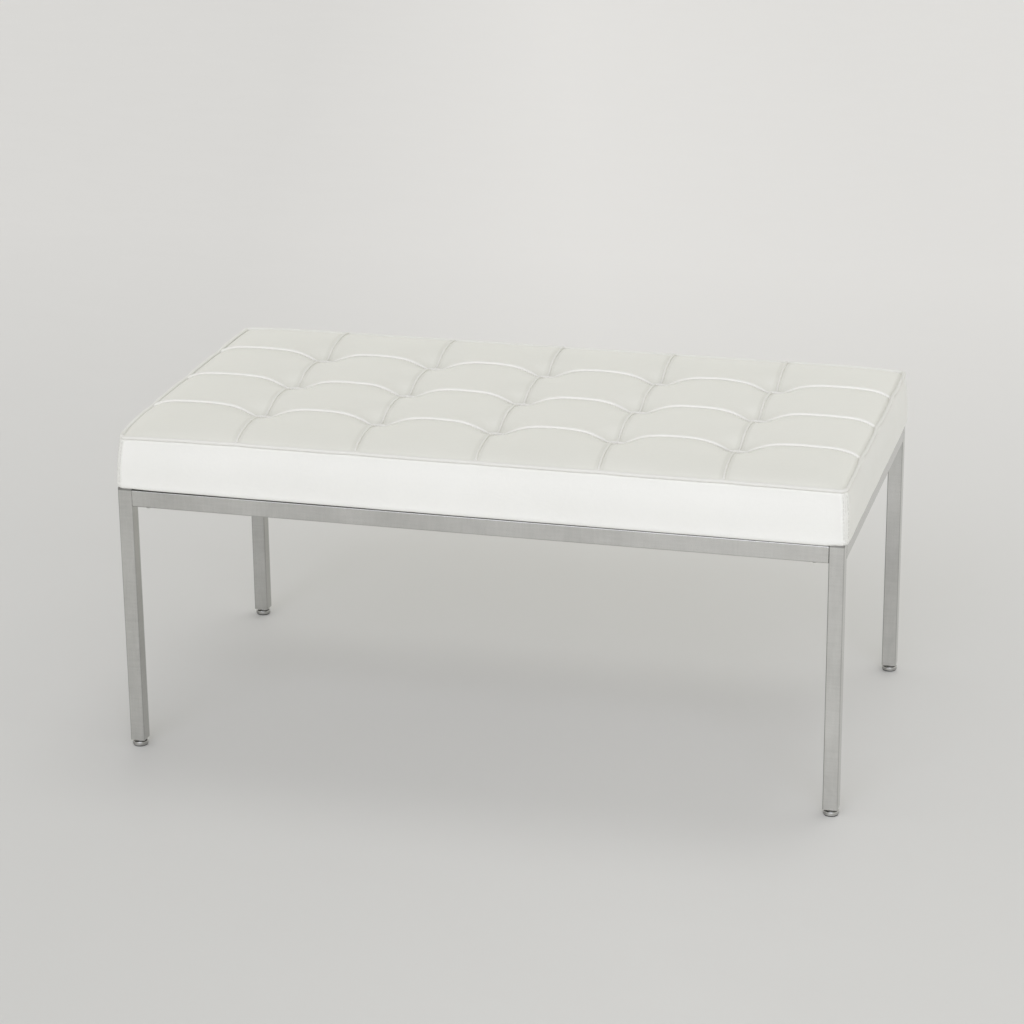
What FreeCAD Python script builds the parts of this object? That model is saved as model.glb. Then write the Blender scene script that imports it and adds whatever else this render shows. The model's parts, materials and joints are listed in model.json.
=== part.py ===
"""A tufted leather bench on a polished square-tube frame, with a levelling glide under each leg.

The origin is at floor level under the middle of the seat. +X runs along the seat, +Y to its back, +Z up.
Everything is in millimetres. Each sub-part is written to parts/NAME.step.
"""

import FreeCAD, Part
import math
import os

Vector = FreeCAD.Vector
ORIGIN = Vector(0, 0, 0)
ALONG = Vector(1, 0, 0)
UP = Vector(0, 0, 1)

# ---------------------------------------------------------------- driving dimensions

bench_length = 920.0
bench_depth = 500.0

# Frame: square tube legs, and rails that butt against them, a little lower than the leg tops.
tube = 19.0
tube_wall = 1.5
tube_edge = 1.6
leg_foot_z = 9.0
leg_top_z = 352.5
leg_cap_depth = 8.0
rail_height = 22.0
rail_drop = 1.7

# Joint between rail and leg: a stub on the leg slides into the rail, and a screw locks it from below.
stub_length = 34.0
stub_gap = 0.2
joint_screw_from_leg = 18.0
joint_screw_d = 5.0
joint_screw_length = 12.0
joint_screw_head_d = 9.5
joint_screw_head_height = 2.7
joint_screw_crown_d = 6.3
joint_screw_socket_af = 3.0
joint_screw_socket_depth = 2.1

# Seat fixings: an angle tab on the rail's inner face, a bolt up through it, and a T-nut in the deck.
long_side_fixings = [-230.0, 230.0]
short_side_fixings = [0.0]
fixing_inset = 36.0
tab_length = 30.0
tab_thickness = 3.0
tab_reach = 28.0
tab_drop = 18.0
bolt_d = 6.0
bolt_length = 19.2
bolt_head_af = 10.0
bolt_head_height = 4.0
tee_nut_flange_d = 19.0
tee_nut_flange_thickness = 1.5
tee_nut_barrel_d = 7.8
tee_nut_barrel_length = 10.0
spacer_d = 14.0

# Levelling glides: a threaded stem with a hexagonal collar, captive in a round foot that it turns in.
thread_d = 8.0
insert_length = 24.0
stem_top_z = 34.0
collar_af = 13.0
swivel_flange_d = 11.0
swivel_flange_thickness = 1.6
swivel_z = 3.0
foot_d = 20.0
foot_top_z = 6.3
foot_edge = 1.2
sole_d = 18.0
sole_thickness = 1.0

# Seat: leather over wadding over foam on a plywood deck.
leather = 1.2
wadding_side = 3.0
wadding_top = 6.0
deck_thickness = 15.0
hem_width = 28.0
boxing_corner = 6.0
dust_cover_thickness = 0.5
dust_cover_inset = 22.0

# Crowned top: the leather rises from the piping to a crown, and is pulled down where the seams cross.
piping_d = 5.3
piping_z = 420.8
piping_inset = 4.0
piping_corner = 8.0
crown_z = 431.9
crown_rise = 9.9
crown_run = 32.0
crown_corner_growth = 15.0
columns = 6
rows = 4
dimple_depth = 12.5
dimple_radius = 50.0
seam_piping_width = 3.0
seam_piping_proud = 1.2
tie_d = 1.8
tie_hole_d = 3.0
anchor_d = 20.0
anchor_hole_d = 2.2
anchor_thickness = 1.0

# Staples that hold the hem and the dust cover to the deck.
staple_crown = 10.0
staple_wire = 0.9
staple_leg = 7.0
staple_inset = 25.0
staple_pitch = 75.0

# Clearances: round a screw or shaft, round a screw's hole in plate, and between one layer and the next.
running_gap = 0.05
hole_gap = 0.25
fit_gap = 0.1

# ---------------------------------------------------------------- derived places

half_x = bench_length / 2
half_y = bench_depth / 2
rail_top_z = leg_top_z - rail_drop
rail_bottom_z = rail_top_z - rail_height
tab_z = rail_top_z - tab_thickness
hem_z = leg_top_z
dust_cover_z = hem_z - dust_cover_thickness
deck_bottom_z = hem_z + leather
deck_top_z = deck_bottom_z + deck_thickness
tee_nut_flange_z = deck_top_z - tee_nut_flange_thickness
anchor_z = deck_bottom_z - anchor_thickness
boxing_top_z = piping_z - piping_d / 2 - fit_gap
foam_shoulder_z = boxing_top_z - wadding_top
above_z = crown_z + 10
core_inset = leather + wadding_side + fit_gap
top_inset = piping_inset + piping_d / 2 + fit_gap
top_corner = piping_corner - piping_d / 2 - fit_gap

seam_x = [(i - columns / 2) * bench_length / columns for i in range(1, columns)]
seam_y = [(i - rows / 2) * bench_depth / rows for i in range(1, rows)]
crossings = [(x, y) for x in seam_x for y in seam_y]

corners = {
    "front_left": (-1, -1),
    "front_right": (1, -1),
    "rear_left": (-1, 1),
    "rear_right": (1, 1),
}

# What repeats on the four sides is made as at the front, then turned about the origin. Each side has
# its turn in degrees, half its length, half the width across to the far side, and its seat fixings.
sides = {
    "front": (0, half_x, half_y, long_side_fixings),
    "right": (90, half_y, half_x, short_side_fixings),
    "rear": (180, half_x, half_y, long_side_fixings),
    "left": (270, half_y, half_x, short_side_fixings),
}

# ---------------------------------------------------------------- helpers


def save(name, shapes):
    """One STEP file of one solid, or of a group of separate solids."""
    group = shapes if isinstance(shapes, list) else [shapes]
    solids = [solid for shape in group for solid in shape.Solids]
    body = solids[0] if len(solids) == 1 else Part.makeCompound(solids)
    body.exportStep("parts/" + name + ".step")


def turned(shape, turn):
    """A shape made at the front, turned to its own side."""
    shape.rotate(ORIGIN, UP, turn)
    return shape


def box(x0, x1, y0, y1, z0, z1):
    """A block between two corners."""
    return Part.makeBox(x1 - x0, y1 - y0, z1 - z0, Vector(x0, y0, z0))


def post(x, y, width, z0, z1):
    """A square block standing on a point."""
    half = width / 2
    return box(x - half, x + half, y - half, y + half, z0, z1)


def rod(x, y, z0, z1, diameter):
    """An upright cylinder."""
    return Part.makeCylinder(diameter / 2, z1 - z0, Vector(x, y, z0))


def washer(x, y, z0, z1, diameter, hole_d):
    """An upright cylinder with a hole down its middle."""
    return rod(x, y, z0, z1, diameter).cut(rod(x, y, z0, z1, hole_d))


def hexagon(x, y, z0, z1, across_flats):
    """An upright hexagonal prism."""
    radius = across_flats / math.sqrt(3)
    turns = [math.radians(60 * i) for i in range(7)]
    points = [Vector(x + radius * math.cos(a), y + radius * math.sin(a), z0) for a in turns]
    return Part.Face(Part.makePolygon(points)).extrude(UP * (z1 - z0))


def rounded(solid, direction, radius):
    """A block with its edges along one direction rounded."""
    edges = []
    for edge in solid.Edges:
        run = edge.Vertexes[1].Point - edge.Vertexes[0].Point
        if run.cross(direction).Length < 1e-6:
            edges.append(edge)
    return solid.makeFillet(radius, edges)


def outline(inset, corner, z):
    """A rectangle with rounded corners, inset from the bench's outer faces."""
    x = half_x - inset - corner
    y = half_y - inset - corner
    arcs = []
    for sx, sy, start in ((1, 1, 0), (-1, 1, 90), (-1, -1, 180), (1, -1, 270)):
        arcs.append(Part.makeCircle(corner, Vector(sx * x, sy * y, z), UP, start, start + 90))
    edges = []
    for arc, following in zip(arcs, arcs[1:] + arcs[:1]):
        side = Part.makeLine(arc.Vertexes[-1].Point, following.Vertexes[0].Point)
        edges += [arc, side]
    return Part.Wire(edges)


def seat_block(inset, z0, z1, corner=0.0):
    """A block inset from the bench's outer faces, its upright edges rounded or not."""
    if corner:
        return Part.Face(outline(inset, corner, z0)).extrude(UP * (z1 - z0))
    return box(inset - half_x, half_x - inset, inset - half_y, half_y - inset, z0, z1)


# ---------------------------------------------------------------- frame


def leg(x, y):
    """A length of square tube, upright at one corner."""
    outer = rounded(post(x, y, tube, leg_foot_z, leg_top_z), UP, tube_edge)
    return outer.cut(post(x, y, tube - 2 * tube_wall, leg_foot_z, leg_top_z))


def leg_cap(x, y):
    """A plug that closes the top of a leg, flush with it."""
    return post(x, y, tube - 2 * tube_wall - 2 * fit_gap, leg_top_z - leg_cap_depth, leg_top_z)


def joint_screw_places(half_run):
    """How far along a rail its two joint screws stand."""
    place = half_run - tube - joint_screw_from_leg
    return [-place, place]


def rail(half_run, half_width):
    """Tube between two legs, drilled from below for its joint screws."""
    end = half_run - tube
    near = -half_width
    far = tube - half_width
    middle = tube / 2 - half_width
    floor_z = rail_bottom_z + tube_wall
    roof_z = rail_top_z - tube_wall
    hole_d = joint_screw_d + 2 * hole_gap
    bar = rounded(box(-end, end, near, far, rail_bottom_z, rail_top_z), ALONG, tube_edge)
    bore = box(-end, end, near + tube_wall, far - tube_wall, floor_z, roof_z)
    holes = [rod(x, middle, rail_bottom_z, floor_z, hole_d) for x in joint_screw_places(half_run)]
    return bar.cut([bore] + holes)


def rail_stub(half_run, half_width, x):
    """A solid bar on a leg, inside the rail's end, tapped for its joint screw."""
    leg_face = math.copysign(half_run - tube, x)
    tip = math.copysign(half_run - tube - stub_length, x)
    inset = tube_wall + stub_gap
    near = inset - half_width
    far = tube - inset - half_width
    middle = tube / 2 - half_width
    floor_z = rail_bottom_z + inset
    bar = box(min(leg_face, tip), max(leg_face, tip), near, far, floor_z, rail_top_z - inset)
    tapped_d = joint_screw_d + 2 * running_gap
    return bar.cut(rod(x, middle, floor_z, rail_bottom_z + joint_screw_length, tapped_d))


def joint_screw(x, y):
    """A button-head screw, its head under the rail, with a hexagon socket."""
    head_z = rail_bottom_z - joint_screw_head_height
    crown = Vector(x, y, head_z)
    head = Part.makeCone(joint_screw_crown_d / 2, joint_screw_head_d / 2, joint_screw_head_height, crown)
    socket = hexagon(x, y, head_z, head_z + joint_screw_socket_depth, joint_screw_socket_af)
    shank = rod(x, y, rail_bottom_z, rail_bottom_z + joint_screw_length - fit_gap, joint_screw_d)
    return head.cut(socket).fuse(shank).removeSplitter()


# ---------------------------------------------------------------- seat fixings, made as at the front


def seat_tab(x, half_width):
    """An angle: one leaf on the rail's inner face, the other reaching in under the deck."""
    face = tube - half_width
    left = x - tab_length / 2
    right = x + tab_length / 2
    leaf = box(left, right, face, face + tab_thickness, rail_top_z - tab_drop, rail_top_z)
    shelf = box(left, right, face, face + tab_reach, tab_z, rail_top_z)
    hole = rod(x, fixing_inset - half_width, tab_z, rail_top_z, bolt_d + 2 * hole_gap)
    return leaf.fuse(shelf).removeSplitter().cut(hole)


def seat_spacer(x, half_width):
    """A rubber washer between the tab and the seat."""
    return washer(x, fixing_inset - half_width, rail_top_z, dust_cover_z, spacer_d, bolt_d + 2 * hole_gap)


def seat_bolt(x, half_width):
    """A hexagon-head bolt, up through the tab into the T-nut."""
    y = fixing_inset - half_width
    head = hexagon(x, y, tab_z - bolt_head_height, tab_z, bolt_head_af)
    return head.fuse(rod(x, y, tab_z, tab_z + bolt_length, bolt_d)).removeSplitter()


def tee_nut(x, half_width):
    """A flanged nut let into the top of the deck."""
    y = fixing_inset - half_width
    flange = rod(x, y, tee_nut_flange_z, deck_top_z, tee_nut_flange_d)
    barrel = rod(x, y, tee_nut_flange_z - tee_nut_barrel_length, tee_nut_flange_z, tee_nut_barrel_d)
    bore = rod(x, y, deck_bottom_z, deck_top_z, bolt_d + 2 * running_gap)
    return flange.fuse(barrel).removeSplitter().cut(bore)


def tee_nut_hole(x, half_width):
    """What the deck loses to a T-nut."""
    y = fixing_inset - half_width
    recess = rod(x, y, tee_nut_flange_z, deck_top_z, tee_nut_flange_d + 2 * fit_gap)
    return recess.fuse(rod(x, y, deck_bottom_z, tee_nut_flange_z, tee_nut_barrel_d + 2 * fit_gap))


def dust_cover_hole(x, half_width):
    """What the dust cover loses to a seat bolt."""
    return rod(x, fixing_inset - half_width, dust_cover_z, hem_z, bolt_d + 2 * hole_gap)


def at_fixings(make):
    """One of something at each of the six seat fixings."""
    made = []
    for turn, half_run, half_width, fixings in sides.values():
        made += [turned(make(x, half_width), turn) for x in fixings]
    return made


# ---------------------------------------------------------------- levelling glides


def glide_insert(x, y):
    """A tapped plug in the bottom of the leg."""
    top = leg_foot_z + insert_length
    plug = post(x, y, tube - 2 * tube_wall - 2 * fit_gap, leg_foot_z, top)
    return plug.cut(rod(x, y, leg_foot_z, top, thread_d + 2 * running_gap))


def glide_stem(x, y):
    """Threaded stem, its collar against the leg when screwed home, its flange captive in the foot."""
    stem = rod(x, y, swivel_z, stem_top_z, thread_d)
    collar = hexagon(x, y, foot_top_z + fit_gap, leg_foot_z, collar_af)
    flange = rod(x, y, swivel_z, swivel_z + swivel_flange_thickness, swivel_flange_d)
    return stem.fuse([collar, flange]).removeSplitter()


def glide_foot(x, y):
    """A round foot with a stepped socket for the stem's flange."""
    disc = rod(x, y, sole_thickness, foot_top_z, foot_d)
    disc = disc.makeFillet(foot_edge, [edge for edge in disc.Edges if len(edge.Vertexes) == 1])
    pocket_top = swivel_z + swivel_flange_thickness + running_gap
    pocket = rod(x, y, swivel_z - running_gap, pocket_top, swivel_flange_d + 2 * running_gap)
    neck = rod(x, y, pocket_top, foot_top_z, thread_d + 2 * running_gap)
    return disc.cut(pocket.fuse(neck))


def glide_sole(x, y):
    """A plastic disc under the foot, which meets the floor."""
    return rod(x, y, 0, sole_thickness, sole_d)


# ---------------------------------------------------------------- seat


def crowned_block(drop):
    """Everything inside the piping and under the crowned, dimpled top, lowered by a drop."""
    edge_z = crown_z - crown_rise - drop
    upright = seat_block(top_inset, foam_shoulder_z - drop, edge_z, top_corner)
    low = outline(top_inset, top_corner, edge_z)
    high = outline(top_inset + crown_run, top_corner + crown_corner_growth, crown_z - drop)
    crown = Part.makeLoft([low, high], True, True)
    over = 2.0
    spread = dimple_radius * (dimple_depth + over) / dimple_depth
    apex_z = crown_z - dimple_depth - drop
    dimples = [Part.makeCone(0, spread, dimple_depth + over, Vector(x, y, apex_z)) for x, y in crossings]
    return upright.fuse(crown).removeSplitter().cut(dimples)


def top_layer(over, under):
    """The layer that reaches from over the crowned top to under it."""
    return crowned_block(-over).cut(crowned_block(under))


def row_strips(width):
    """Upright strips along the seams that run the length of the seat."""
    half = width / 2
    return [box(-half_x, half_x, y - half, y + half, foam_shoulder_z, above_z) for y in seam_y]


def column_strips(width):
    """Upright strips along the seams that run from front to back."""
    half = width / 2
    return [box(x - half, x + half, -half_y, half_y, foam_shoulder_z, above_z) for x in seam_x]


def top_panels():
    """Twenty-four leather squares, with room for the piping between them."""
    room = seam_piping_width + 2 * fit_gap
    return top_layer(0, leather).cut(row_strips(room) + column_strips(room))


def row_piping():
    """Piping in the three long seams."""
    layer = top_layer(seam_piping_proud, leather)
    return [layer.common(strip) for strip in row_strips(seam_piping_width)]


def column_piping():
    """Piping in the five cross seams, which stops each side of the long seams."""
    layer = top_layer(seam_piping_proud, leather).cut(row_strips(seam_piping_width + 2 * fit_gap))
    return [layer.common(strip) for strip in column_strips(seam_piping_width)]


def perimeter_piping():
    """A round cord along the top edge: four straight runs joined by quarter turns."""
    radius = piping_d / 2
    cx = half_x - piping_inset - piping_corner
    cy = half_y - piping_inset - piping_corner
    pieces = []
    for turn, half_run, half_width, _ in sides.values():
        run = half_run - piping_inset - piping_corner
        start = Vector(-run, piping_inset - half_width, piping_z)
        pieces.append(turned(Part.makeCylinder(radius, 2 * run, start, ALONG), turn))
    for sx, sy, turn in ((1, 1, 0), (-1, 1, 90), (-1, -1, 180), (1, -1, 270)):
        quarter = turned(Part.makeTorus(piping_corner, radius, ORIGIN, UP, -180, 180, 90), turn)
        quarter.translate(Vector(sx * cx, sy * cy, piping_z))
        pieces.append(quarter)
    return pieces[0].fuse(pieces[1:]).removeSplitter()


def boxing_shell():
    """Leather round the four sides, turned under the deck as a hem."""
    wall = seat_block(0, hem_z, boxing_top_z, boxing_corner)
    hollow = seat_block(leather, deck_bottom_z, boxing_top_z, boxing_corner - leather)
    window = seat_block(hem_width, hem_z, deck_bottom_z)
    return wall.cut([hollow, window])


def mitre_wedge(half_run, half_width):
    """The space that one side's panel may fill, cut at 45 degrees at the corners."""
    reach = 10.0
    depth = 50.0
    z0 = hem_z - 1
    points = [
        Vector(-half_run - reach, -half_width - reach, z0),
        Vector(half_run + reach, -half_width - reach, z0),
        Vector(half_run - depth, depth - half_width, z0),
        Vector(depth - half_run, depth - half_width, z0),
    ]
    return Part.Face(Part.makePolygon(points + points[:1])).extrude(UP * (boxing_top_z - hem_z + 2))


def tie_holes(z0, z1):
    return [rod(x, y, z0, z1, tie_hole_d) for x, y in crossings]


def foam_block(grow):
    """The foam's outer form, grown all round."""
    low = seat_block(core_inset - grow, deck_top_z, foam_shoulder_z - leather + grow)
    return low.fuse(crowned_block(leather + wadding_top - grow)).removeSplitter()


def foam_core():
    """Foam on the deck, with a hole for each tie."""
    return foam_block(0).cut(tie_holes(deck_top_z, crown_z))


def wadding():
    """A cap of wadding over the foam's top and down the sides of the foam and the deck."""
    inset = leather + fit_gap
    outside = seat_block(inset, deck_bottom_z + fit_gap, boxing_top_z - fit_gap, boxing_corner - inset)
    outside = outside.fuse(crowned_block(leather)).removeSplitter()
    deck_room = seat_block(core_inset - fit_gap, deck_bottom_z - 1, deck_top_z + 1)
    return outside.cut([foam_block(fit_gap).fuse(deck_room)] + tie_holes(deck_top_z, crown_z))


def deck_board():
    """Plywood, drilled for the T-nuts and the tufting ties."""
    board = seat_block(core_inset, deck_bottom_z, deck_top_z)
    return board.cut(tie_holes(deck_bottom_z, deck_top_z) + at_fixings(tee_nut_hole))


def tufting_tie(x, y):
    """Twine from a crossing down through the seat."""
    return rod(x, y, anchor_z, crown_z - dimple_depth - leather - fit_gap, tie_d)


def tuft_anchor(x, y):
    """A washer under the deck that a tie pulls against."""
    return washer(x, y, anchor_z, deck_bottom_z, anchor_d, anchor_hole_d)


def dust_cover():
    """A thin cloth under the deck, holed for the seat bolts."""
    return seat_block(dust_cover_inset, dust_cover_z, hem_z).cut(at_fixings(dust_cover_hole))


def staple(x, half_width):
    """A crown under the dust cover and two legs up into the deck, made as at the front."""
    y = staple_inset - half_width
    reach = (staple_crown - staple_wire) / 2
    crown = box(
        x - staple_crown / 2,
        x + staple_crown / 2,
        y - staple_wire / 2,
        y + staple_wire / 2,
        dust_cover_z - staple_wire,
        dust_cover_z,
    )
    legs = [post(x + s * reach, y, staple_wire, dust_cover_z, dust_cover_z + staple_leg) for s in (-1, 1)]
    return crown.fuse(legs).removeSplitter()


def staples():
    """A row of staples along each side."""
    made = []
    for turn, half_run, half_width, _ in sides.values():
        span = 2 * (half_run - staple_inset)
        count = round(span / staple_pitch)
        places = [(i + 0.5) * span / count - span / 2 for i in range(count)]
        made += [turned(staple(x, half_width), turn) for x in places]
    return made


# ---------------------------------------------------------------- files


def save_frame():
    caps = []
    for name, (sx, sy) in corners.items():
        x = sx * (half_x - tube / 2)
        y = sy * (half_y - tube / 2)
        caps.append(leg_cap(x, y))
        save("leg_" + name, leg(x, y))
        save("glide_insert_" + name, glide_insert(x, y))
        save("glide_stem_" + name, glide_stem(x, y))
        save("glide_foot_" + name, glide_foot(x, y))
        save("glide_sole_" + name, glide_sole(x, y))
    save("leg_caps", caps)
    stubs = []
    screws = []
    for name, (turn, half_run, half_width, _) in sides.items():
        save("rail_" + name, turned(rail(half_run, half_width), turn))
        for x in joint_screw_places(half_run):
            stubs.append(turned(rail_stub(half_run, half_width, x), turn))
            screws.append(turned(joint_screw(x, tube / 2 - half_width), turn))
    save("rail_stubs", stubs)
    save("joint_screws", screws)


def save_fixings():
    save("seat_tabs", at_fixings(seat_tab))
    save("seat_spacers", at_fixings(seat_spacer))
    save("seat_bolts", at_fixings(seat_bolt))
    save("tee_nuts", at_fixings(tee_nut))


def save_seat():
    shell = boxing_shell()
    for name, (turn, half_run, half_width, _) in sides.items():
        save("boxing_" + name, shell.common(turned(mitre_wedge(half_run, half_width), turn)))
    save("deck_board", deck_board())
    save("foam_core", foam_core())
    save("wadding", wadding())
    save("top_panels", top_panels())
    save("row_piping", row_piping())
    save("column_piping", column_piping())
    save("perimeter_piping", perimeter_piping())
    save("tufting_ties", [tufting_tie(x, y) for x, y in crossings])
    save("tuft_anchors", [tuft_anchor(x, y) for x, y in crossings])
    save("dust_cover", dust_cover())
    save("staples", staples())


os.makedirs("parts", exist_ok=True)
save_frame()
save_fixings()
save_seat()
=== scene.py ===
"""The looks of a tufted leather bench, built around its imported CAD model.

Soft pieces are worked out in millimetres and turned into metres when their meshes are made.
"""

import json
import math

import bpy
import numpy as np
from mathutils import Matrix, Vector


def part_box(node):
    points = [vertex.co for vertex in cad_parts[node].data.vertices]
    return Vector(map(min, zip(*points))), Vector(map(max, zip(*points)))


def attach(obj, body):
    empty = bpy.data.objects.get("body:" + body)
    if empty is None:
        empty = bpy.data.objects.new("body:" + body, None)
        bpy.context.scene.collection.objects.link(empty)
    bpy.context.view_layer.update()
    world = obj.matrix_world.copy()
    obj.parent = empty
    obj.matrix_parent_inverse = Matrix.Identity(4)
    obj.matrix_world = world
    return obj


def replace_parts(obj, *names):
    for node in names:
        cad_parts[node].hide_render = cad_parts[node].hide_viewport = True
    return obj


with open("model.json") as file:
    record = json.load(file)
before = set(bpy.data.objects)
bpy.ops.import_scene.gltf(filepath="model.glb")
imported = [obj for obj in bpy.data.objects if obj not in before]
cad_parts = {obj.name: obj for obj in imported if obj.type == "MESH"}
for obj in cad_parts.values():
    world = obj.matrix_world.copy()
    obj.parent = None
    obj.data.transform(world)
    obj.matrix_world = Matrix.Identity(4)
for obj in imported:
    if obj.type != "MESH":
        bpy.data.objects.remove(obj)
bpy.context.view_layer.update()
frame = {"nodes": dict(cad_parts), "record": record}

MM = 0.001

# ---------------- camera: three-quarter view from the front

CAMERA_PLACE = Vector((0.99193, -3.72236, 1.62541))
CAMERA_YAW = 0.26417
CAMERA_PITCH = 0.33774
CAMERA_ROLL = -0.00979
CAMERA_LENS = 110.42
SENSOR = 36.0

# ---------------- sizes in millimetres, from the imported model


def box_mm(node):
    """A CAD node's lowest and highest corners in millimetres."""
    low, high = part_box(node)
    return np.array(low) / MM, np.array(high) / MM


HALF_X = box_mm("boxing_right")[1][0]
HALF_Y = box_mm("boxing_rear")[1][1]
HEM_Z = box_mm("boxing_front")[0][2]
WELT_LOW, WELT_HIGH = (corner[2] for corner in box_mm("perimeter_piping"))
WELT_Z = (WELT_LOW + WELT_HIGH) / 2
WELT_R = (WELT_HIGH - WELT_LOW) / 2
CROWN_Z = box_mm("top_panels")[1][2]
DECK_Z = box_mm("deck_board")[1][2]
LEG_Z = box_mm("leg_front_left")[0][2]

COLUMNS, ROWS = 6, 4
SEAM_A = [HALF_X * (2 * i / COLUMNS - 1) for i in range(1, COLUMNS)]
SEAM_B = [HALF_Y * (2 * i / ROWS - 1) for i in range(1, ROWS)]
CROSSINGS = [(a, b) for a in SEAM_A for b in SEAM_B]

LEATHER = 1.2
ROW_PIPING_R = 2.1
COLUMN_PIPING_R = 1.8
CORNER = 9.0  # radius of the cushion's corners in plan
DIMPLE = 14.0  # how deep the crossings sink
DIMPLE_FLAT = 8.0
DIMPLE_SPREAD = 23.0
ROLL_SIDES = 10.5  # how far the top rolls down at its two short sides
ROLL_ENDS = 8.5  # and at its front and rear
DROOP = (2.8, 1.6, 2.0, 2.4)  # at the corners: front left, front right, rear left, rear right
BULGE = 3.4
SAG = 1.0
BOTTOM_ROUND = 3.5
BOTTOM_X = 462.8  # half sizes of the cushion just above its bottom edge
BOTTOM_Y = 252.6
WALL = WELT_Z - HEM_Z - BOTTOM_ROUND
HEM = 24.0  # how far the sides are turned in under the deck
STITCH_PITCH = 5.0
SEAM_TO_STITCH = 3.2
TINY = 1e-6

# ---------------- the cushion's form
# a and b are places on the flat pattern of the top, from -HALF to HALF. The form bends them into shape.


def bell(x, spread, power=2.0):
    """A smooth bump, 1 where x is 0 and nearly 0 beyond about twice the spread."""
    return np.exp(-np.abs(x / spread) ** power)


def rounded_plan(a, b, half_x, half_y, radius):
    """The pattern's corner squares squeezed into quarter discs, and its sides scaled to a new size."""
    u = np.clip((np.abs(a) - (HALF_X - CORNER)) / CORNER, 0, 1)
    v = np.clip((np.abs(b) - (HALF_Y - CORNER)) / CORNER, 0, 1)
    x = np.clip(a / (HALF_X - CORNER), -1, 1) * (half_x - radius)
    y = np.clip(b / (HALF_Y - CORNER), -1, 1) * (half_y - radius)
    x = x + np.sign(a) * radius * u * np.sqrt(1 - v * v / 2)
    y = y + np.sign(b) * radius * v * np.sqrt(1 - u * u / 2)
    return x, y


def outward(a, b):
    """The plan direction that faces out of the cushion at a place on its edge."""
    x, y = rounded_plan(a, b, HALF_X, HALF_Y, CORNER)
    nx = x - np.clip(x, CORNER - HALF_X, HALF_X - CORNER)
    ny = y - np.clip(y, CORNER - HALF_Y, HALF_Y - CORNER)
    size = np.maximum(np.hypot(nx, ny), TINY)
    return nx / size, ny / size


def corner_pull(a, b, spread):
    """Closeness to each corner: front left, front right, rear left, rear right."""
    corners = [(sx * HALF_X, sy * HALF_Y) for sy in (-1, 1) for sx in (-1, 1)]
    return [bell(np.hypot(a - x, b - y), spread, 1.4) for x, y in corners]


def droop(a, b):
    """How far the edge sinks towards the corners."""
    pulls = corner_pull(a, b, 48.0)
    return sum(depth * pull for depth, pull in zip(DROOP, pulls))


def top_plan(a, b):
    """Plan place of a point of the top: the edges are drawn in at seams and corners."""
    x, y = rounded_plan(a, b, HALF_X, HALF_Y, CORNER)
    at_rows = sum(bell(b - s, 17.0) for s in SEAM_B)
    at_columns = sum(bell(a - s, 17.0) for s in SEAM_A)
    fl, fr, rl, rr = corner_pull(a, b, 42.0)
    left = bell(HALF_X + a, 30.0, 1.3) * (0.2 + 1.9 * at_rows + 3.6 * fl + 1.0 * rl)
    right = bell(HALF_X - a, 30.0, 1.3) * (0.2 + 1.9 * at_rows + 2.2 * fr + 0.8 * rr)
    front = bell(HALF_Y + b, 30.0, 1.3) * (2.0 + 1.2 * at_columns + 1.5 * (fl + fr))
    rear = bell(HALF_Y - b, 30.0, 1.3) * (2.0 + 1.2 * at_columns + 1.5 * (rl + rr))
    past_seam = np.clip((np.abs(b) - 125.0) / 125.0, 0, 1)
    skew = -6.0 * np.sign(b) * past_seam**1.5 * bell(np.abs(a) / HALF_X, 0.97, 8)
    return x + left - right + skew, y + front - rear


def roll(a, b):
    """How far the top rolls down towards its rim: steeply at the short sides, gently at the others."""
    near = bell(HALF_X - np.abs(a), 16.0, 1.2)
    side = bell(HALF_Y - np.abs(b), 24.0, 1.2)
    return ROLL_SIDES * near * (1 - 0.4 * side) + ROLL_ENDS * side * (1 - 0.6 * near)


def top_height(a, b):
    """Height of the leather before it is inflated: a crown, sunk at every crossing of the seams."""
    z = np.full(np.broadcast(a, b).shape, CROWN_Z)
    for ca, cb in CROSSINGS:
        reach = np.hypot(a - ca, b - cb)
        z = z - DIMPLE * bell(np.maximum(reach - DIMPLE_FLAT, 0), DIMPLE_SPREAD, 1.55)
    return z - roll(a, b) - droop(a, b)


def top_form(a, b):
    """A point of the top before it is inflated."""
    a, b = np.broadcast_arrays(np.asarray(a, float), np.asarray(b, float))
    x, y = top_plan(a, b)
    return np.stack([x, y, top_height(a, b)], axis=-1)


def side_form(a, b, h):
    """A point of the sides: a and b on the pattern's edge, h from 0 at the welt to 1 at the bottom."""
    a, b, h = np.broadcast_arrays(*(np.asarray(value, float) for value in (a, b, h)))
    x0, y0 = top_plan(a, b)
    x1, y1 = rounded_plan(a, b, BOTTOM_X, BOTTOM_Y, CORNER)
    nx, ny = outward(a, b)
    fl, fr, rl, rr = corner_pull(a, b, 60.0)
    x1 = x1 + 2.4 * fl + 1.0 * fr - 0.8 * rr
    corner = np.minimum(fl + fr + rl + rr, 1)
    bulge = (BULGE - 1.2 * corner) * 4 * h * (1 - h)
    along = h**0.8
    x = x0 + (x1 - x0) * along + nx * bulge
    y = y0 + (y1 - y0) * along + ny * bulge
    top_z = WELT_Z - droop(a, b)
    low_z = HEM_Z + BOTTOM_ROUND - sag(a, b)
    return np.stack([x, y, top_z + (low_z - top_z) * h], axis=-1)


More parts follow.
